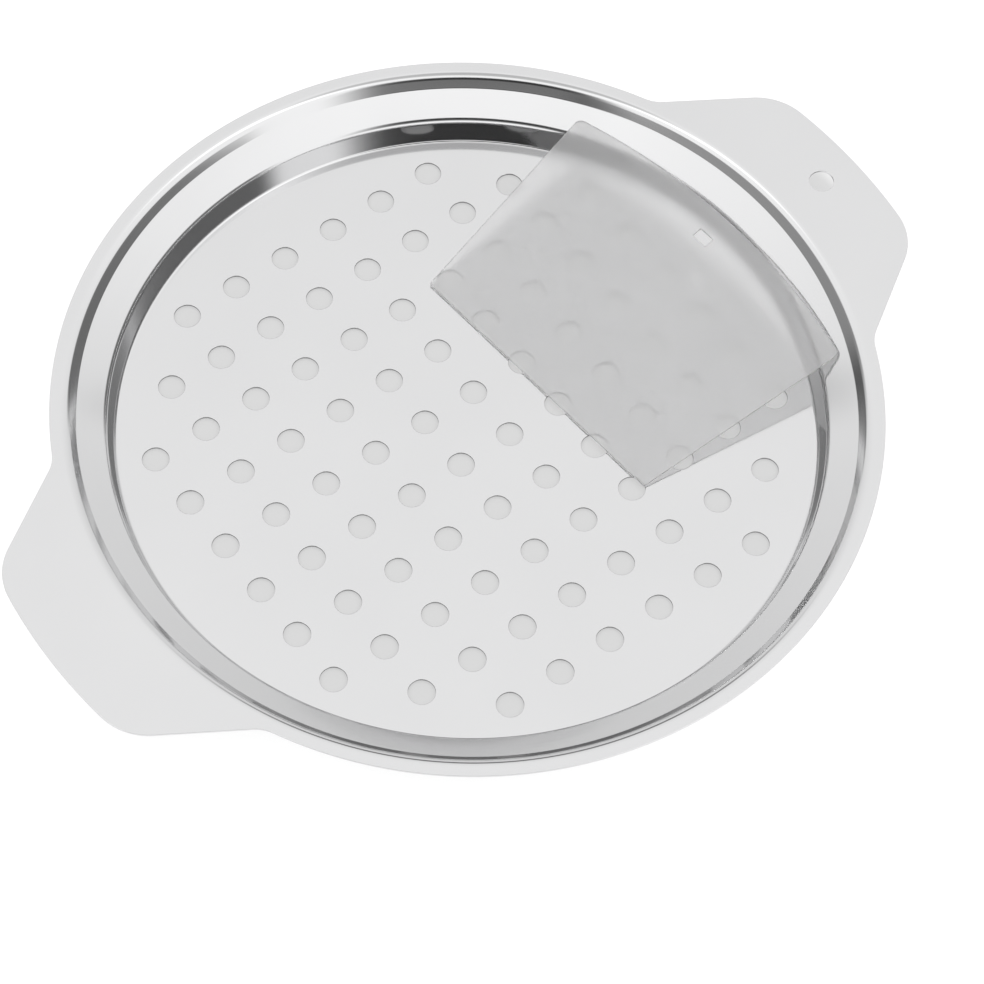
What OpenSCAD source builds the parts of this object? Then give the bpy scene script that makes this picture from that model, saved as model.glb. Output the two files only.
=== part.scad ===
// Pot-top spaetzle maker: a round steel plate with a pierced floor and two flat handles, and the loose
// dough scraper that lies in it.
// Origin: centre of the plate's underside. +X: along the handles, towards the hanging hole. +Z: up.

/* [Plate] */
// Diameter of the plate without its handles
plate_d = 260; // [200:1:340]
// Thickness of the steel sheet
sheet_t = 0.8; // [0.5:0.1:1.2]
// Width of the flat flange, measured from the corner of its bend
flange_w = 5.0; // [3:0.1:12]
// Width of the short riser under the flange
riser_w = 3.0; // [1.8:0.1:4]
// Height of the short riser under the flange
riser_h = 3.3; // [2.6:0.1:8]
// Width of the slanted ledge that sits on the rim of the pot
ledge_w = 9.2; // [7:0.1:20]
// Rise of the slanted ledge
ledge_h = 5.6; // [4:0.1:9]
// Width of the slanted wall around the floor
wall_w = 2.2; // [1.6:0.1:10]
// Height of the wall around the floor
wall_h = 8.3; // [6:0.1:20]
// Inner radius of the crisp bends, at the floor and under the riser
crisp_bend_r = 1.0; // [0.4:0.1:1.4]
// Upper radius of the soft bend between the wall and the ledge
ledge_bend_r = 3.2; // [2:0.1:8]
// Upper radius of the round bend between the riser and the flange
flange_bend_r = 4.0; // [2:0.1:8]

/* [Holes] */
// Diameter of the holes in the floor
hole_d = 8.5; // [4:0.1:12]
// Distance between neighbouring holes
hole_pitch = 19.1; // [14:0.1:30]
// Bare edge of the floor: no hole has its centre in it
bare_edge_w = 10.2; // [8:0.1:30]

/* [Handles] */
// Length of a handle beyond the edge of the plate
handle_l = 25.7; // [20:0.1:50]
// Width of a handle at its outer end, between the corners before they are rounded
handle_end_w = 64.4; // [60:0.1:90]
// Slant of the handle's sides, away from the line through both handles
handle_side_angle = 32; // [20:1:38]
// Radius of the gently curved outer end
handle_end_r = 180; // [140:1:400]
// Radius of the handle's two outer corners
handle_corner_r = 20; // [10:1:22]
// Radius of the hollow corner where the handle meets the plate
handle_root_r = 12; // [6:1:20]
// Diameter of the hanging hole
hang_hole_d = 8; // [5:0.1:12]
// Distance from the hanging hole's centre to the handle's outer end
hang_hole_inset = 13.5; // [10:0.1:16]

/* [Scraper] */
// Length of the scraper's straight edge
scraper_l = 100.7; // [70:0.1:130]
// Height of the scraper, from its straight edge to the top of its curved edge
scraper_h = 83.5; // [60:0.1:105]
// Thickness of the scraper
scraper_t = 0.8; // [0.6:0.1:1.5]
// Slant of the scraper's short sides
scraper_side_angle = 7.6; // [0:0.1:12]
// Radius of the curved edge
scraper_top_r = 229; // [150:1:400]
// Radius of the two corners at the ends of the curved edge
scraper_corner_r = 2.5; // [1:0.1:6]
// Length of the slot in the scraper
slot_l = 5.8; // [3:0.1:20]
// Width of the slot
slot_w = 3.6; // [2:0.1:8]
// Distance from the middle of the slot to the top of the curved edge
slot_inset = 9.9; // [6:0.1:20]

/* [Lay of the scraper] */
// Turn of the scraper from square to the handles
lay_angle = 5.5; // [0:0.5:10]
// Shift of the scraper along its straight edge
lay_shift = 2.3; // [0:0.1:5]
// Distance from the foot of the ledge to the place where the scraper's corner rests on it
seat_inset = 6.0; // [3:0.1:7]
// Gap under the straight edge
floor_gap = 0.3; // [0.3:0.1:0.6]
// Gap between the resting corner and the ledge, measured straight up
ledge_gap = 0.4; // [0.3:0.1:0.8]

/* [Hidden] */

bend_steps = 6;
arc_steps = 12;
cut_extra = 5;
cut_faces = 48;
ring_faces = 240;

// Radii of the plate's corners, from the flange's edge in to the floor
plate_r = plate_d / 2;
flange_r = plate_r - flange_w;
riser_r = flange_r - riser_w;
ledge_r = riser_r - ledge_w;
floor_r = ledge_r - wall_w;

// Heights of the upper surface
ledge_z = sheet_t + wall_h;
riser_z = ledge_z + ledge_h;
flange_z = riser_z + riser_h;

// Corners of the sheet's upper surface with the radius of each bend
profile = [
    [0, sheet_t],
    [floor_r, sheet_t],
    [ledge_r, ledge_z],
    [riser_r, riser_z],
    [flange_r, flange_z],
    [plate_r, flange_z]
];
bend_radii = [0, crisp_bend_r, ledge_bend_r, crisp_bend_r, flange_bend_r, 0];

// A handle's sheet starts in the middle of the flat part of the flange
flange_flat_r = flange_r + flange_bend_r * tan(atan2(riser_h, riser_w) / 2);
handle_from_r = (flange_flat_r + plate_r) / 2;

// Line of a handle's side: its outward normal, its direction and its distance from the centre
handle_tip_x = plate_r + handle_l;
side_normal = [sin(handle_side_angle), cos(handle_side_angle)];
side_dir = [cos(handle_side_angle), -sin(handle_side_angle)];
side_offset = side_normal * [handle_tip_x, handle_end_w / 2];

function unit(v) = v / norm(v);
function left_of(v) = [-v[1], v[0]];
function turned(v, angle) = [v[0] * cos(angle) - v[1] * sin(angle), v[0] * sin(angle) + v[1] * cos(angle)];
function reversed(points) = [for (i = [len(points) - 1:-1:0]) points[i]];

// Points of an arc from one angle to another
function arc(centre, radius, from, to, steps) =
    [for (i = [0:steps]) centre + radius * [cos(from + (to - from) * i / steps), sin(from + (to - from) * i / steps)]];

// Points of one bend of the sheet, on the side that lies depth below the drawn surface
function bend(before, corner, after, radius, depth) =
    let(
        way_in = unit(corner - before),
        way_out = unit(after - corner),
        side = sign(cross(way_in, way_out)),
        angle = acos(way_in * way_out),
        centre = corner - way_in * radius * tan(angle / 2) + left_of(way_in) * side * radius,
        spoke = -left_of(way_in) * side * (radius + side * depth)
    )
    [for (i = [0:bend_steps]) centre + turned(spoke, side * angle * i / bend_steps)];

function sheet_side(depth) = [
    profile[0] - [0, depth],
    for (i = [1:len(profile) - 2])
        for (p = bend(profile[i - 1], profile[i], profile[i + 1], bend_radii[i], depth)) p,
    profile[len(profile) - 1] - [0, depth]
];

// Half of a handle's outline, from the plate's edge out to the middle of the handle's end
function handle_half() =
    let(
        root_reach = plate_r + handle_root_r,
        root_height = side_offset + handle_root_r,
        root_centre = side_normal * root_height + side_dir * sqrt(pow(root_reach, 2) - pow(root_height, 2)),
        end_centre = [handle_tip_x - handle_end_r, 0],
        corner_reach = handle_end_r - handle_corner_r,
        corner_height = side_offset - handle_corner_r - side_normal * end_centre,
        corner_centre = end_centre + side_normal * corner_height
            + side_dir * sqrt(pow(corner_reach, 2) - pow(corner_height, 2)),
        root_from = atan2(root_centre[1], root_centre[0]) + 180,
        side_angle = 90 - handle_side_angle,
        end_angle = atan2(corner_centre[1] - end_centre[1], corner_centre[0] - end_centre[0])
    )
    concat(
        arc(root_centre, handle_root_r, root_from, side_angle + 180, arc_steps),
        arc(corner_centre, handle_corner_r, side_angle, end_angle, arc_steps),
        [for (i = [1:arc_steps - 1]) end_centre + handle_end_r
            * [cos(end_angle * (1 - i / arc_steps)), sin(end_angle * (1 - i / arc_steps))]]
    );

// Outline of both short corners of the scraper and its edges: x along the straight edge, y up the card
top_centre_y = scraper_h - scraper_top_r;
card_normal = [cos(scraper_side_angle), -sin(scraper_side_angle)];
card_up = [sin(scraper_side_angle), cos(scraper_side_angle)];
card_offset = card_normal * [scraper_l / 2, 0];
card_corner_height = card_offset - scraper_corner_r - card_normal * [0, top_centre_y];
card_corner = [0, top_centre_y] + card_normal * card_corner_height
    + card_up * sqrt(pow(scraper_top_r - scraper_corner_r, 2) - pow(card_corner_height, 2));
card_top_angle = atan2(card_corner[1] - top_centre_y, card_corner[0]);

function scraper_half() = concat(
    [[scraper_l / 2, 0]],
    arc(card_corner, scraper_corner_r, -scraper_side_angle, card_top_angle, arc_steps),
    [for (i = [1:arc_steps - 1]) [0, top_centre_y] + scraper_top_r
        * [cos(card_top_angle + (90 - card_top_angle) * i / arc_steps),
           sin(card_top_angle + (90 - card_top_angle) * i / arc_steps)]]
);

// The scraper leans on the ledge with the corner on the side that it is shifted to
seat_r = ledge_r + seat_inset;
seat_z = ledge_z + ledge_h * seat_inset / ledge_w + ledge_gap;
corner_reach = seat_r - scraper_corner_r;
corner_side = lay_shift + card_corner[0];
corner_out = sqrt(pow(corner_reach, 2) - pow(corner_side, 2));
lean_y = card_corner[1] + scraper_corner_r * corner_out / corner_reach;
lean_angle = asin((seat_z - sheet_t - floor_gap) / lean_y);
edge_out = corner_out - card_corner[1] * cos(lean_angle);

module floor_holes() {
    field_r = floor_r - bare_edge_w;
    rows = ceil(field_r / hole_pitch);
    for (i = [-rows:rows])
        for (j = [-rows:rows])
            if (norm([i + 0.5, j + 0.5]) * hole_pitch <= field_r)
                translate([(i + 0.5) * hole_pitch, (j + 0.5) * hole_pitch, -cut_extra])
                    cylinder(d = hole_d, h = sheet_t + 2 * cut_extra, $fn = cut_faces);
}

module dish() {
    rotate_extrude($fn = ring_faces)
        polygon(concat(sheet_side(0), reversed(sheet_side(sheet_t))));
}

module handle() {
    half = handle_half();
    translate([0, 0, flange_z - sheet_t])
        linear_extrude(sheet_t)
            difference() {
                polygon(concat([[floor_r, 0]], [for (p = half) [p[0], -p[1]]], [[handle_tip_x, 0]], reversed(half)));
                circle(r = handle_from_r, $fn = ring_faces);
            }
}

module perforated_plate() {
    color([0.80, 0.81, 0.82])
        difference() {
            union() {
                dish();
                handle();
                rotate([0, 0, 180])
                    handle();
            }
            floor_holes();
            translate([handle_tip_x - hang_hole_inset, 0, flange_z - sheet_t - cut_extra])
                cylinder(d = hang_hole_d, h = sheet_t + 2 * cut_extra, $fn = cut_faces);
        }
}

module scraper_card() {
    half = scraper_half();
    linear_extrude(scraper_t)
        difference() {
            polygon(concat(half, [[0, scraper_h]], [for (p = reversed(half)) [-p[0], p[1]]]));
            translate([-slot_l / 2, scraper_h - slot_inset - slot_w / 2])
                square([slot_l, slot_w]);
        }
}

module dough_scraper() {
    color([0.86, 0.87, 0.88])
        rotate([0, 0, lay_angle])
            translate([edge_out, -lay_shift, sheet_t + floor_gap])
                rotate([0, -lean_angle, 0])
                    rotate([0, 0, -90])
                        scraper_card();
}

perforated_plate();
dough_scraper();
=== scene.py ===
"""Look of the spaetzle maker: a pressed steel plate with a pierced floor and a frosted dough scraper.

All lengths are in metres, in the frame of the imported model: origin in the middle of the plate's
underside, +X along the handles towards the hanging hole, +Z up.
"""

import math

import bmesh
import bpy
from mathutils import Matrix, Vector

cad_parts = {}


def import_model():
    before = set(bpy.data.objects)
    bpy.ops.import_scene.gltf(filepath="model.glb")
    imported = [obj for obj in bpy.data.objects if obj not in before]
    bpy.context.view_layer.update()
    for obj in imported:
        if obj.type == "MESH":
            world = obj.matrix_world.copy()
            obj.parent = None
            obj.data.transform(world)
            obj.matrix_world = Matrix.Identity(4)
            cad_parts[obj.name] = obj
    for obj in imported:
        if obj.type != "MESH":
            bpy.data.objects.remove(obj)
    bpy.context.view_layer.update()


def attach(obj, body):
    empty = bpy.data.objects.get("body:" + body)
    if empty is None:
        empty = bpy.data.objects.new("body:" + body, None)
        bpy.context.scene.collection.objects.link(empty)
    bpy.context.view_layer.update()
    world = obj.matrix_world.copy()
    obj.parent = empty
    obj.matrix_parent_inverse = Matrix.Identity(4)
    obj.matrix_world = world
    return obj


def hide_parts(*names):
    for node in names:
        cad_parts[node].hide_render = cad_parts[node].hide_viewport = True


MM = 0.001
WHITE = (1, 1, 1, 1)

# Plate: the driving sizes of the pressing, as in the model's source
PLATE_R = 130.0 * MM
SHEET_T = 0.8 * MM
FLANGE_W = 5.0 * MM
RISER_W, RISER_H = 3.0 * MM, 3.3 * MM
LEDGE_W, LEDGE_H = 9.2 * MM, 5.6 * MM
WALL_W, WALL_H = 2.2 * MM, 8.3 * MM
CRISP_BEND_R = 1.0 * MM
LEDGE_BEND_R = 3.2 * MM
FLANGE_BEND_R = 4.0 * MM

# Holes in the floor
HOLE_R = 4.25 * MM
HOLE_PITCH = 19.1 * MM
BARE_EDGE_W = 10.2 * MM

# Handles
HANDLE_L = 25.7 * MM
HANDLE_END_W = 64.4 * MM
HANDLE_SIDE_ANGLE = math.radians(32)
HANDLE_END_R = 180.0 * MM
HANDLE_CORNER_R = 20.0 * MM
HANDLE_ROOT_R = 12.0 * MM
HANG_HOLE_R = 4.0 * MM
HANG_HOLE_INSET = 13.5 * MM

# Scraper, and how it lies in the plate
SCRAPER_L = 100.7 * MM
SCRAPER_H = 83.5 * MM
SCRAPER_T = 0.8 * MM
SCRAPER_SIDE_ANGLE = math.radians(7.6)
SCRAPER_TOP_R = 229.0 * MM
SCRAPER_CORNER_R = 2.5 * MM
SCRAPER_FOOT_R = 0.6 * MM
SLOT_L, SLOT_W = 5.8 * MM, 3.6 * MM
SLOT_CORNER_R = 0.5 * MM
SLOT_INSET = 9.9 * MM
LAY_ANGLE = math.radians(5.5)
LAY_SHIFT = 2.3 * MM
SEAT_INSET = 6.0 * MM
FLOOR_GAP = 0.3 * MM
LEDGE_GAP = 0.4 * MM

# Fineness of the meshes: steps of each round part, and the cut edges' radius with the strip beside it
RING_STEPS = 720
FLANGE_EDGE_STEPS = RING_STEPS // 3
HOLE_STEPS = 48
BEND_STEPS = 16
EDGE_STEPS = 4
HANDLE_END_STEPS = 24
HANDLE_CORNER_STEPS = 20
SCRAPER_FOOT_STEPS = 8
SCRAPER_CORNER_STEPS = 14
SCRAPER_TOP_STEPS = 40
SLOT_CORNER_STEPS = 5
EDGE_R = 0.12 * MM
SUPPORT_W = 0.15 * MM

# Textures: scale per metre of the rolled grain, the ring marks and the broad clouds, how far the first
# two are drawn out, and how finely grain and clouds are broken up
GRAIN_SCALE = 2600.0
GRAIN_STRETCH = 0.02
RING_SCALE = 1400.0
RING_STRETCH = 0.0015
CLOUD_SCALE = 22.0
GRAIN_DETAIL = 3.0
CLOUD_DETAIL = 2.0

# Steel: colour and roughness from low to high, the grain's share in the colour, the clouds' share in the
# roughness, and the strength and depth of the grain's bumps
STEEL_DARK = (0.745, 0.745, 0.75)
STEEL_LIGHT = (0.80, 0.80, 0.805)
STEEL_ROUGHNESS = (0.06, 0.16)
STEEL_GRAIN_SHARE = 0.35
STEEL_CLOUD_SHARE = 0.5
STEEL_BUMP = 0.3
STEEL_GRAIN_DEPTH = 0.0006 * MM

# Ring marks: the width over which they fade in before the floor's edge, and the two distances beyond the
# corner of the flange's bend between which they fade out
RING_FADE_IN = 1 * MM
RING_FADE_OUT = (1 * MM, 3 * MM)

# Frosted plastic: its fine grain, colour and roughness from low to high, and how clear it is
FROST_SCALE = 1800.0
FROST_DETAIL = 2.0
FROST_BUMP = 0.15
FROST_DEPTH = 0.01 * MM
PLASTIC_DARK = (0.975, 0.975, 0.976)
PLASTIC_LIGHT = (0.993, 0.993, 0.994)
PLASTIC_ROUGHNESS = (0.40, 0.45)
PLASTIC_TRANSMISSION = 0.86
PLASTIC_IOR = 1.3

# Studio: the light's level at the horizon, how much it grows upwards and towards the front, and what
# makes up on matt surfaces for the light that the dark cards take away
SKY_LEVEL = 0.94
SKY_UP = 0.15
SKY_FRONT = 0.19
FRONT_AZIMUTH = math.radians(231)
MATT_LIGHT = 1.28

# Cards round the studio, each with its azimuth from +X, half width and softness, its lowest and highest
# elevation and softness, all in degrees, the part of the light that it takes away (less than 0 adds
# light), and the reflection from which on it counts: 2 is for what the pressed wall shows by way of the
# plate's floor
STUDIO_CARDS = [
    (231, 32, 9, 23, 56, 5, 0.82, 1),
    (231, 32, 9, 2, 27, 5, 0.82, 2),
    (231, 27, 12, -5, 27, 2, 0.80, 2),
    (231, 27, 12, 35, 56, 4, 0.80, 1),
    (323, 35.5, 4, -20, 25, 4, 0.80, 1),
    (316, 28, 4, 23, 37.5, 3, 0.85, 2),
    (160, 48, 8, -20, 32, 3, 0.68, 1),
    (112, 10, 6, -10, 12, 4, 0.70, 1),
    (11, 26, 5, 36, 54, 3, 0.75, 2),
    (92, 22, 4, 38.5, 52, 2.5, 0.75, 2),
    (55, 17, 8, 23, 36, 3, 0.80, 1),
    (0, 180, 5, 77, 100, 5, 0.45, 1),
    (141, 38, 20, 63, 75, 5, -0.45, 1),
    (321, 38, 20, 63, 75, 5, -0.45, 1),
]

# Floor: its half width, how far it lies under the plate, its colour for diffuse rays, how bright it glows
# for the camera, metal and clear plastic, how bright in its grey places of painted shade, how much of
# that clear plastic takes away, how near metal has to be to mirror the painted grey, beyond which it
# mirrors these places black as painted shade, and the share of the light falling on it that it adds to
# the glow, which is what a shadow takes away
FLOOR_HALF = 20.0
FLOOR_DROP = 0.1 * MM
FLOOR_COLOUR = (0.8, 0.8, 0.8, 1)
GLOW_OPEN = 0.85
GLOW_IN_PAINTED_SHADE = 0.44
DIM_THROUGH = 0.12
TOUCHING = 0.5 * MM
SHADOW_SHARE = 0.25

# Painted shade on the floor, in millimetres: grey under the pierced floor, and a painted soft shadow
# under each handle, in the camera's line through the hanging hole; each with its centre, half widths,
# even share and strength
PAINTED_SHADE_PLACES = [
    (0, 0, 112, 112, 0.96, 1.0),
    (147, 6, 13, 30, 0.35, 0.8),
    (-137, 6, 13, 30, 0.35, 0.8),
]

# Camera: how it looks at the plate
CAMERA_LENS = 137.18
CAMERA_SENSOR = 36.0
CAMERA_AZIMUTH = math.radians(-39.87)
CAMERA_ELEVATION = math.radians(59.73)
CAMERA_ROLL = math.radians(3.55)
CAMERA_TARGET = Vector((-7.37, -22.88, 0.0)) * MM
CAMERA_DISTANCE = 1171.15 * MM


# ---------------------------------------------------------------- outlines

def direction(angle):
    return Vector((math.cos(angle), math.sin(angle)))


def arc(centre, radius, start, end, steps):
    """Points and outward normals along an arc."""
    angles = [start + (end - start) * i / steps for i in range(steps + 1)]
    return [(Vector(centre) + direction(a) * radius, direction(a)) for a in angles]


def hollow_arc(centre, radius, start, end, steps):
    """An arc that bulges inward: its normals point at the centre."""
    return [(p, -n) for p, n in arc(centre, radius, start, end, steps)]


def plate_outline():
    """The flange's edge and both handles, as points with outward normals."""
    tip_x = PLATE_R + HANDLE_L
    side_normal = direction(math.pi / 2 - HANDLE_SIDE_ANGLE)
    side_dir = direction(-HANDLE_SIDE_ANGLE)
    side_offset = side_normal.dot(Vector((tip_x, HANDLE_END_W / 2)))

    root_height = side_offset + HANDLE_ROOT_R
    root_reach = math.sqrt((PLATE_R + HANDLE_ROOT_R) ** 2 - root_height ** 2)
    root = side_normal * root_height + side_dir * root_reach
    root_angle = math.atan2(root.y, root.x)

    end = Vector((tip_x - HANDLE_END_R, 0))
    corner_height = side_offset - HANDLE_CORNER_R - side_normal.dot(end)
    corner_reach = math.sqrt((HANDLE_END_R - HANDLE_CORNER_R) ** 2 - corner_height ** 2)
    corner = end + side_normal * corner_height + side_dir * corner_reach
    corner_angle = math.atan2(corner.y - end.y, corner.x - end.x)
    side_angle = math.pi / 2 - HANDLE_SIDE_ANGLE

    steps = HANDLE_CORNER_STEPS
    upper = arc(end, HANDLE_END_R, 0, corner_angle, HANDLE_END_STEPS)[1:]
    upper += arc(corner, HANDLE_CORNER_R, corner_angle, side_angle, steps)[1:]
    upper += hollow_arc(root, HANDLE_ROOT_R, side_angle + math.pi, root_angle + math.pi, steps)
    rim = arc((0, 0), PLATE_R, root_angle, math.pi - root_angle, FLANGE_EDGE_STEPS)[1:]
    half = [(Vector((tip_x, 0)), Vector((1, 0)))] + upper + rim
    left = [(Vector((-p.x, p.y)), Vector((-n.x, n.y))) for p, n in upper[:-1]][::-1]
    half += left
    return half + [(-p, -n) for p, n in half]


def round_hole(centre, radius, steps):
    """A hole's edge: its normals point into the hole."""
    return arc(centre, radius, 0, 2 * math.pi, steps)[:-1]


def scraper_outline():
    """The card's edge, x along its straight edge and y up to the curved one, and a corner's centre."""
    top = Vector((0, SCRAPER_H - SCRAPER_TOP_R))
    normal = direction(-SCRAPER_SIDE_ANGLE)
    up = direction(math.pi / 2 - SCRAPER_SIDE_ANGLE)
    height = normal.x * SCRAPER_L / 2 - SCRAPER_CORNER_R - normal.dot(top)
    reach = math.sqrt((SCRAPER_TOP_R - SCRAPER_CORNER_R) ** 2 - height ** 2)
    corner = top + normal * height + up * reach
    top_angle = math.atan2(corner.y - top.y, corner.x)
    foot_inset = SCRAPER_FOOT_R * (1 + math.sin(SCRAPER_SIDE_ANGLE)) / math.cos(SCRAPER_SIDE_ANGLE)
    foot = Vector((SCRAPER_L / 2 - foot_inset, SCRAPER_FOOT_R))
    half = arc(foot, SCRAPER_FOOT_R, -math.pi / 2, -SCRAPER_SIDE_ANGLE, SCRAPER_FOOT_STEPS)
    half += arc(corner, SCRAPER_CORNER_R, -SCRAPER_SIDE_ANGLE, top_angle, SCRAPER_CORNER_STEPS)
    half += arc(top, SCRAPER_TOP_R, top_angle, math.pi / 2, SCRAPER_TOP_STEPS)[1:-1]
    middle = [(Vector((0, SCRAPER_H)), Vector((0, 1)))]
    mirrored = [(Vector((-p.x, p.y)), Vector((-n.x, n.y))) for p, n in half][::-1]
    return half + middle + mirrored, corner


def slot_outline():
    """The slot's edge with rounded corners: normals point out of the slot, into the card."""
    middle = Vector((0, SCRAPER_H - SLOT_INSET))
    reach_x = SLOT_L / 2 - SLOT_CORNER_R
    reach_y = SLOT_W / 2 - SLOT_CORNER_R
    quarter = math.pi / 2
    points = []
    for i, (side_x, side_y) in enumerate(((1, 1), (-1, 1), (-1, -1), (1, -1))):
        centre = middle + Vector((side_x * reach_x, side_y * reach_y))
        points += arc(centre, SLOT_CORNER_R, i * quarter, (i + 1) * quarter, SLOT_CORNER_STEPS)
    return points


# ---------------------------------------------------------------- mesh tools

def add_ring(bm, points):
    return [bm.verts.new(p) for p in points]


def bridge(bm, low, high):
    """Quads between two closed rings of equal length."""
    n = len(low)
    for i in range(n):
        bm.faces.new((low[i], low[(i + 1) % n], high[(i + 1) % n], high[i]))


def ring_edges(bm, ring):
    n = len(ring)
    edges = []
    for i in range(n):
        pair = (ring[i], ring[(i + 1) % n])
        edges.append(bm.edges.get(pair) or bm.edges.new(pair))
    return edges


def fill_flat(bm, rings, up):
    """Triangles between closed rings that lie in one plane, all facing up or down."""
    edges = [e for ring in rings for e in ring_edges(bm, ring)]
    made = bmesh.ops.triangle_fill(bm, edges=edges, use_beauty=True, use_dissolve=False)
    faces = [f for f in made["geom"] if isinstance(f, bmesh.types.BMFace)]
    for f in faces:
        f.normal_update()
        if (f.normal.z > 0) != up:
            f.normal_flip()


def edge_rings(bm, outline, z_low, z_high, inward):
    """A sheet's cut edge with both corners rounded, from the top support ring down to the bottom one.

    inward is 1 where the normals point away from the metal, and -1 where they point into it.
    """
    rows = [(-EDGE_R - SUPPORT_W, z_high)]
    for i in range(EDGE_STEPS + 1):
        a = math.pi / 2 * i / EDGE_STEPS
        rows.append((EDGE_R * (math.sin(a) - 1), z_high - EDGE_R * (1 - math.cos(a))))
    low = [(out, z_low + z_high - z) for out, z in reversed(rows)]
    rings = []
    for out, z in rows + low:
        points = [(p + n * out * inward) for p, n in outline]
        rings.append(add_ring(bm, [(p.x, p.y, z) for p in points]))
    for high, below in zip(rings, rings[1:]):
        if inward > 0:
            bridge(bm, below, high)
        else:
            bridge(bm, high, below)
    return rings[0], rings[-1]


def finish_mesh(bm, name):
    bm.normal_update()
    mesh = bpy.data.meshes.new(name)
    bm.to_mesh(mesh)
    bm.free()
    for polygon in mesh.polygons:
        polygon.use_smooth = True
    piece = bpy.data.objects.new(name, mesh)
    bpy.context.scene.collection.objects.link(piece)
    return piece


# ---------------------------------------------------------------- plate

def profile_corners():
    """Corners of the sheet's upper surface with their bend radii, from the floor out."""
    flange_r = PLATE_R - FLANGE_W
    riser_r = flange_r - RISER_W
    ledge_r = riser_r - LEDGE_W
    floor_r = ledge_r - WALL_W
    ledge_z = SHEET_T + WALL_H
    riser_z = ledge_z + LEDGE_H
    flange_z = riser_z + RISER_H
    corners = [(0, SHEET_T), (floor_r, SHEET_T), (ledge_r, ledge_z), (riser_r, riser_z)]
    corners += [(flange_r, flange_z), (PLATE_R, flange_z)]
    return [Vector(c) for c in corners], [CRISP_BEND_R, LEDGE_BEND_R, CRISP_BEND_R, FLANGE_BEND_R]


def profile_points(depth):
    """Points along the sheet's bends, on the surface that lies depth below the upper one."""
    corners, radii = profile_corners()
    points = []
    for before, corner, after, radius in zip(corners, corners[1:], corners[2:], radii):
        way_in = (corner - before).normalized()
        way_out = (after - corner).normalized()
        side = 1 if way_in.x * way_out.y - way_in.y * way_out.x > 0 else -1
        turn = way_in.angle(way_out)
        left = Vector((-way_in.y, way_in.x))
        centre = corner - way_in * radius * math.tan(turn / 2) + left * side * radius
        spoke = -left * side * (radius + side * depth)
        for i in range(BEND_STEPS + 1):
            a = side * turn * i / BEND_STEPS
            points.append(centre + Matrix.Rotation(a, 2) @ spoke)
    inner = points[0] - Vector((SUPPORT_W, 0))
    outer = points[-1] + Vector((SUPPORT_W, 0))
    return [inner] + points + [outer]


def lathe(bm, points, facing_up):
    """Turns a row of (radius, height) points round the Z axis; returns its first and last ring."""
    rings = []
    for p in points:
        ring = [direction(2 * math.pi * i / RING_STEPS) * p.x for i in range(RING_STEPS)]
        rings.append(add_ring(bm, [(q.x, q.y, p.y) for q in ring]))
    for inner, outer in zip(rings, rings[1:]):
        if facing_up:
            bridge(bm, outer, inner)
        else:
            bridge(bm, inner, outer)
    return rings[0], rings[-1]


def hole_centres():
    floor_r = profile_corners()[0][1].x
    reach = floor_r - BARE_EDGE_W
    count = math.ceil(reach / HOLE_PITCH)
    steps = [(i + 0.5) * HOLE_PITCH for i in range(-count, count)]
    return [Vector((x, y)) for x in steps for y in steps if math.hypot(x, y) <= reach]


def make_plate():
    bm = bmesh.new()
    top_inner, top_outer = lathe(bm, profile_points(0), True)
    low_inner, low_outer = lathe(bm, profile_points(SHEET_T), False)
    floor_top, floor_low = [top_inner], [low_inner]
    for centre in hole_centres():
        high, low = edge_rings(bm, round_hole(centre, HOLE_R, HOLE_STEPS), 0, SHEET_T, -1)
        floor_top.append(high)
        floor_low.append(low)
    fill_flat(bm, floor_top, True)
    fill_flat(bm, floor_low, False)

    flange_z = profile_corners()[0][-1].y
    rim_high, rim_low = edge_rings(bm, plate_outline(), flange_z - SHEET_T, flange_z, 1)
    hang = Vector((PLATE_R + HANDLE_L - HANG_HOLE_INSET, 0))
    hole = round_hole(hang, HANG_HOLE_R, HOLE_STEPS)
    hang_high, hang_low = edge_rings(bm, hole, flange_z - SHEET_T, flange_z, -1)
    fill_flat(bm, [top_outer, rim_high, hang_high], True)
    fill_flat(bm, [low_outer, rim_low, hang_low], False)
    return finish_mesh(bm, "pressed_plate")


# ---------------------------------------------------------------- scraper

def scraper_pose(corner):
    """Where the card lies: its straight edge on the floor and one corner on the ledge."""
    ledge_foot = profile_corners()[0][2]
    seat_r = ledge_foot.x + SEAT_INSET
    seat_z = ledge_foot.y + LEDGE_H * SEAT_INSET / LEDGE_W + LEDGE_GAP
    reach = seat_r - SCRAPER_CORNER_R
    side = LAY_SHIFT + corner.x
    out = math.sqrt(reach ** 2 - side ** 2)
    lean_y = corner.y + SCRAPER_CORNER_R * out / reach
    lean = math.asin((seat_z - SHEET_T - FLOOR_GAP) / lean_y)
    edge_out = out - corner.y * math.cos(lean)
    place = Matrix.Translation((edge_out, -LAY_SHIFT, SHEET_T + FLOOR_GAP))
    turn = Matrix.Rotation(LAY_ANGLE, 4, "Z")
    tilt = Matrix.Rotation(-lean, 4, "Y")
    return turn @ place @ tilt @ Matrix.Rotation(-math.pi / 2, 4, "Z")


def make_scraper():
    outline, corner = scraper_outline()
    bm = bmesh.new()
    rim_high, rim_low = edge_rings(bm, outline, 0, SCRAPER_T, 1)
    slot_high, slot_low = edge_rings(bm, slot_outline(), 0, SCRAPER_T, -1)
    fill_flat(bm, [rim_high, slot_high], True)
    fill_flat(bm, [rim_low, slot_low], False)
    bmesh.ops.transform(bm, matrix=scraper_pose(corner), verts=bm.verts)
    return finish_mesh(bm, "scraper_card")


# ---------------------------------------------------------------- shader tools

def new_material(name):
    material = bpy.data.materials.new(name)
    material.use_nodes = True
    tree = material.node_tree
    return material, tree, tree.nodes["Principled BSDF"]


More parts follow.
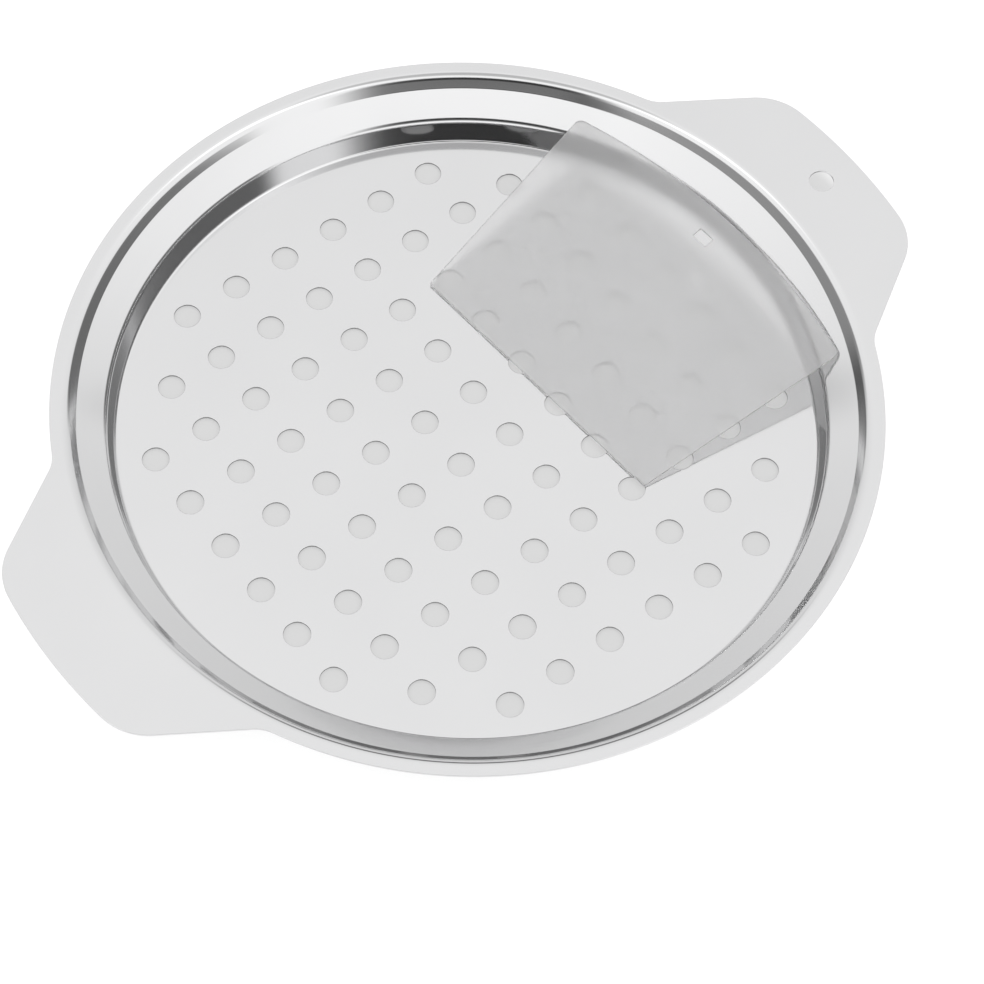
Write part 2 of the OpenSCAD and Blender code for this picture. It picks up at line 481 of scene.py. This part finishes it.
def feed(tree, socket, value):
    """Links an output to the socket, or sets the socket to a plain number or colour."""
    if isinstance(value, bpy.types.NodeSocket):
        tree.links.new(value, socket)
    else:
        socket.default_value = value


def math_node(tree, operation, *values):
    node = tree.nodes.new("ShaderNodeMath")
    node.operation = operation
    for socket, value in zip(node.inputs, values):
        feed(tree, socket, value)
    return node.outputs[0]


def soft_step(tree, value, start, end):
    """0 up to start and 1 from end on, with a smooth passage between; start may be the larger one."""
    node = tree.nodes.new("ShaderNodeMapRange")
    node.interpolation_type = "SMOOTHSTEP"
    feed(tree, node.inputs["Value"], value)
    node.inputs["From Min"].default_value = start
    node.inputs["From Max"].default_value = end
    return node.outputs[0]


def rescale(tree, value, low, high):
    """Turns 0..1 into low..high."""
    return math_node(tree, "MULTIPLY_ADD", value, high - low, low)


def blend_values(tree, factor, first, second):
    node = tree.nodes.new("ShaderNodeMix")
    feed(tree, node.inputs["Factor"], factor)
    feed(tree, node.inputs["A"], first)
    feed(tree, node.inputs["B"], second)
    return node.outputs["Result"]


def blend_shaders(tree, factor, first, second):
    node = tree.nodes.new("ShaderNodeMixShader")
    for socket, value in zip(node.inputs, (factor, first, second)):
        feed(tree, socket, value)
    return node.outputs[0]


def grey_ramp(tree, value, dark, light):
    """A colour between two colours that the value picks."""
    node = tree.nodes.new("ShaderNodeValToRGB")
    node.color_ramp.elements[0].color = (*dark, 1)
    node.color_ramp.elements[1].color = (*light, 1)
    feed(tree, node.inputs[0], value)
    return node.outputs[0]


def distance_from(tree, x, y, centre_x, centre_y):
    """Flat distance of a point from a centre."""
    along = math_node(tree, "SUBTRACT", x, centre_x)
    across = math_node(tree, "SUBTRACT", y, centre_y)
    square = math_node(tree, "MULTIPLY_ADD", along, along, math_node(tree, "MULTIPLY", across, across))
    return math_node(tree, "SQRT", square)


def split(tree, vector):
    node = tree.nodes.new("ShaderNodeSeparateXYZ")
    feed(tree, node.inputs[0], vector)
    return node.outputs


def join(tree, x, y, z):
    node = tree.nodes.new("ShaderNodeCombineXYZ")
    for socket, value in zip(node.inputs, (x, y, z)):
        feed(tree, socket, value)
    return node.outputs[0]


def noise(tree, vector, scale, detail):
    node = tree.nodes.new("ShaderNodeTexNoise")
    feed(tree, node.inputs["Vector"], vector)
    node.inputs["Scale"].default_value = scale
    node.inputs["Detail"].default_value = detail
    return node.outputs["Fac"]


def object_place(tree):
    return tree.nodes.new("ShaderNodeTexCoord").outputs["Object"]


def bump(tree, height, strength, depth):
    node = tree.nodes.new("ShaderNodeBump")
    node.inputs["Strength"].default_value = strength
    node.inputs["Distance"].default_value = depth
    feed(tree, node.inputs["Height"], height)
    return node.outputs[0]


# ---------------------------------------------------------------- materials

def steel():
    """Bright rolled sheet: straight grain on the floor and handles, ring marks on the pressed rim."""
    material, tree, shader = new_material("satin_steel")
    place = object_place(tree)
    x, y = split(tree, place)[:2]
    radius = distance_from(tree, x, y, 0.0, 0.0)
    angle = math_node(tree, "ARCTAN2", y, x)

    rolled_place = join(tree, math_node(tree, "MULTIPLY", x, GRAIN_STRETCH), y, 0.0)
    rolled = noise(tree, rolled_place, GRAIN_SCALE, GRAIN_DETAIL)
    ring_place = join(tree, radius, math_node(tree, "MULTIPLY", angle, RING_STRETCH), 0.0)
    rings = noise(tree, ring_place, RING_SCALE, GRAIN_DETAIL)
    corners = profile_corners()[0]
    floor_r, flange_r = corners[1].x, corners[4].x
    past_floor = soft_step(tree, radius, floor_r - RING_FADE_IN, floor_r)
    fade_start, fade_end = RING_FADE_OUT
    before_edge = soft_step(tree, radius, flange_r + fade_end, flange_r + fade_start)
    pressed = math_node(tree, "MULTIPLY", past_floor, before_edge)
    grain = blend_values(tree, pressed, rolled, rings)
    cloud = noise(tree, place, CLOUD_SCALE, CLOUD_DETAIL)

    shade = blend_values(tree, STEEL_GRAIN_SHARE, cloud, grain)
    feed(tree, shader.inputs["Base Color"], grey_ramp(tree, shade, STEEL_DARK, STEEL_LIGHT))
    shader.inputs["Metallic"].default_value = 1.0
    roughness = blend_values(tree, STEEL_CLOUD_SHARE, grain, cloud)
    feed(tree, shader.inputs["Roughness"], rescale(tree, roughness, *STEEL_ROUGHNESS))
    feed(tree, shader.inputs["Normal"], bump(tree, grain, STEEL_BUMP, STEEL_GRAIN_DEPTH))
    return material


def frosted_plastic():
    """Thin milky sheet: most of the light goes through, spread by a fine grain on both faces."""
    material, tree, shader = new_material("frosted_plastic")
    place = object_place(tree)
    cloud = noise(tree, place, CLOUD_SCALE, CLOUD_DETAIL)
    grain = noise(tree, place, FROST_SCALE, FROST_DETAIL)
    feed(tree, shader.inputs["Base Color"], grey_ramp(tree, cloud, PLASTIC_DARK, PLASTIC_LIGHT))
    feed(tree, shader.inputs["Roughness"], rescale(tree, cloud, *PLASTIC_ROUGHNESS))
    feed(tree, shader.inputs["Normal"], bump(tree, grain, FROST_BUMP, FROST_DEPTH))
    shader.inputs["IOR"].default_value = PLASTIC_IOR
    shader.inputs["Transmission Weight"].default_value = PLASTIC_TRANSMISSION
    return material


# ---------------------------------------------------------------- light, floor and camera

def height_at(degrees):
    """Height of a direction's tip at this elevation; past straight up it only grows on."""
    return math.sin(math.radians(degrees)) if degrees < 90 else degrees / 90


def studio_card(tree, azimuth, height, bounces, card):
    """1 outside a card of the studio, 1 - depth in its middle; bounces is the path's Ray Depth.

    The world reads a Ray Depth of 2 for the first reflection that the camera sees.
    """
    centre, half_width, side_soft, low, high, edge_soft, depth, first_reflection = card
    away = math_node(tree, "SUBTRACT", azimuth, math.radians(centre))
    away = math_node(tree, "WRAP", away, math.pi, -math.pi)
    away = math_node(tree, "ABSOLUTE", away)
    half_width, side_soft = math.radians(half_width), math.radians(side_soft)
    across = soft_step(tree, away, half_width + side_soft, half_width - side_soft)

    above = soft_step(tree, height, height_at(low - edge_soft), height_at(low + edge_soft))
    below = soft_step(tree, height, height_at(high + edge_soft), height_at(high - edge_soft))
    inside = math_node(tree, "MULTIPLY", math_node(tree, "MULTIPLY", across, above), below)
    if first_reflection > 1:
        counts = math_node(tree, "GREATER_THAN", bounces, first_reflection + 0.5)
        inside = math_node(tree, "MULTIPLY", inside, counts)
    return math_node(tree, "MULTIPLY_ADD", inside, -depth, 1.0)


def make_world():
    """A bright studio with cards round it; the camera sees plain white."""
    world = bpy.data.worlds.new("studio")
    bpy.context.scene.world = world
    world.use_nodes = True
    tree = world.node_tree
    tree.nodes.clear()
    x, y, z = split(tree, tree.nodes.new("ShaderNodeTexCoord").outputs["Generated"])
    azimuth = math_node(tree, "ARCTAN2", y, x)

    level = math_node(tree, "MULTIPLY_ADD", z, SKY_UP, SKY_LEVEL)
    level = math_node(tree, "MULTIPLY_ADD", x, SKY_FRONT * math.cos(FRONT_AZIMUTH), level)
    level = math_node(tree, "MULTIPLY_ADD", y, SKY_FRONT * math.sin(FRONT_AZIMUTH), level)
    path = tree.nodes.new("ShaderNodeLightPath")
    for card in STUDIO_CARDS:
        shade = studio_card(tree, azimuth, z, path.outputs["Ray Depth"], card)
        level = math_node(tree, "MULTIPLY", level, shade)

    matt_gain = rescale(tree, path.outputs["Is Glossy Ray"], MATT_LIGHT, 1.0)
    light = tree.nodes.new("ShaderNodeBackground")
    light.inputs["Color"].default_value = WHITE
    feed(tree, light.inputs["Strength"], math_node(tree, "MULTIPLY", level, matt_gain))
    backdrop = tree.nodes.new("ShaderNodeBackground")
    backdrop.inputs["Color"].default_value = WHITE
    seen = blend_shaders(tree, path.outputs["Is Camera Ray"], light.outputs[0], backdrop.outputs[0])
    feed(tree, tree.nodes.new("ShaderNodeOutputWorld").inputs[0], seen)


def painted_shade_place(tree, x, y, place):
    """The strength of an oval of painted shade on the floor, even in its middle and 0 from its edge out.
    """
    centre_x, centre_y, half_x, half_y, even_share, strength = place
    along = math_node(tree, "DIVIDE", x, half_x * MM)
    across = math_node(tree, "DIVIDE", y, half_y * MM)
    reach = distance_from(tree, along, across, centre_x / half_x, centre_y / half_y)
    return math_node(tree, "MULTIPLY", soft_step(tree, reach, 1.0, even_share), strength)


def floor_glow(tree, path):
    """The floor's look for camera, metal and plastic: white, painted grey shade under plate and handles,
    weak shadow.
    """
    x, y = split(tree, object_place(tree))[:2]
    under = 0.0
    for place in PAINTED_SHADE_PLACES:
        under = math_node(tree, "MAXIMUM", painted_shade_place(tree, x, y, place), under)

    # Painted shade: in these places the glow is grey for the camera, a little dimmer for clear plastic,
    # and black for metal further away than TOUCHING.
    through = path.outputs["Is Transmission Ray"]
    dimmed = blend_values(tree, through, path.outputs["Is Glossy Ray"], DIM_THROUGH)
    away = math_node(tree, "GREATER_THAN", path.outputs["Ray Length"], TOUCHING)
    hidden = math_node(tree, "MULTIPLY", math_node(tree, "MULTIPLY", under, dimmed), away)
    glow = tree.nodes.new("ShaderNodeEmission")
    feed(tree, glow.inputs["Color"], grey_ramp(tree, under, (GLOW_OPEN,) * 3, (GLOW_IN_PAINTED_SHADE,) * 3))
    feed(tree, glow.inputs["Strength"], math_node(tree, "SUBTRACT", 1.0, hidden))

    faint = tree.nodes.new("ShaderNodeBsdfDiffuse")
    faint.inputs["Color"].default_value = (SHADOW_SHARE,) * 3 + (1,)
    both = tree.nodes.new("ShaderNodeAddShader")
    feed(tree, both.inputs[0], glow.outputs[0])
    feed(tree, both.inputs[1], faint.outputs[0])
    return both.outputs[0]


def floor_material():
    """Glows for camera, mirrored and clear rays, is matt for diffuse ones, and is clear from below."""
    material, tree, shader = new_material("studio_floor")
    shader.inputs["Base Color"].default_value = FLOOR_COLOUR
    shader.inputs["Roughness"].default_value = 1.0
    shader.inputs["Specular IOR Level"].default_value = 0.0

    path = tree.nodes.new("ShaderNodeLightPath")
    direct = math_node(tree, "MAXIMUM", path.outputs["Is Camera Ray"], path.outputs["Is Glossy Ray"])
    direct = math_node(tree, "MAXIMUM", direct, path.outputs["Is Transmission Ray"])
    upper_side = blend_shaders(tree, direct, shader.outputs[0], floor_glow(tree, path))
    clear = tree.nodes.new("ShaderNodeBsdfTransparent")
    from_below = tree.nodes.new("ShaderNodeNewGeometry").outputs["Backfacing"]
    surface = blend_shaders(tree, from_below, upper_side, clear.outputs[0])
    feed(tree, tree.nodes["Material Output"].inputs["Surface"], surface)
    return material


def make_floor():
    """A white floor that keeps soft shadows, with painted grey shade under the plate and handles, which
    the holes show, and clear from below.
    """
    bm = bmesh.new()
    below = Matrix.Translation((0, 0, -FLOOR_DROP))
    bmesh.ops.create_grid(bm, x_segments=1, y_segments=1, size=FLOOR_HALF, matrix=below)
    floor = finish_mesh(bm, "studio_floor")
    floor.data.materials.append(floor_material())


def make_camera():
    data = bpy.data.cameras.new("camera")
    data.lens = CAMERA_LENS
    data.sensor_width = CAMERA_SENSOR
    camera = bpy.data.objects.new("camera", data)
    bpy.context.scene.collection.objects.link(camera)
    flat = math.cos(CAMERA_ELEVATION)
    back = Vector((
        math.sin(CAMERA_AZIMUTH) * flat,
        -math.cos(CAMERA_AZIMUTH) * flat,
        math.sin(CAMERA_ELEVATION),
    ))
    turn = back.to_track_quat("Z", "Y").to_matrix().to_4x4()
    place = Matrix.Translation(CAMERA_TARGET + back * CAMERA_DISTANCE)
    camera.matrix_world = place @ turn @ Matrix.Rotation(CAMERA_ROLL, 4, "Z")
    bpy.context.scene.camera = camera


def main():
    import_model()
    make_camera()

    plate = make_plate()
    plate.data.materials.append(steel())
    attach(plate, "plate")
    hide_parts("perforated_plate")

    card = make_scraper()
    card.data.materials.append(frosted_plastic())
    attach(card, "scraper")
    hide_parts("dough_scraper")

    make_world()
    make_floor()
    bpy.context.scene.view_settings.view_transform = "Standard"


main()
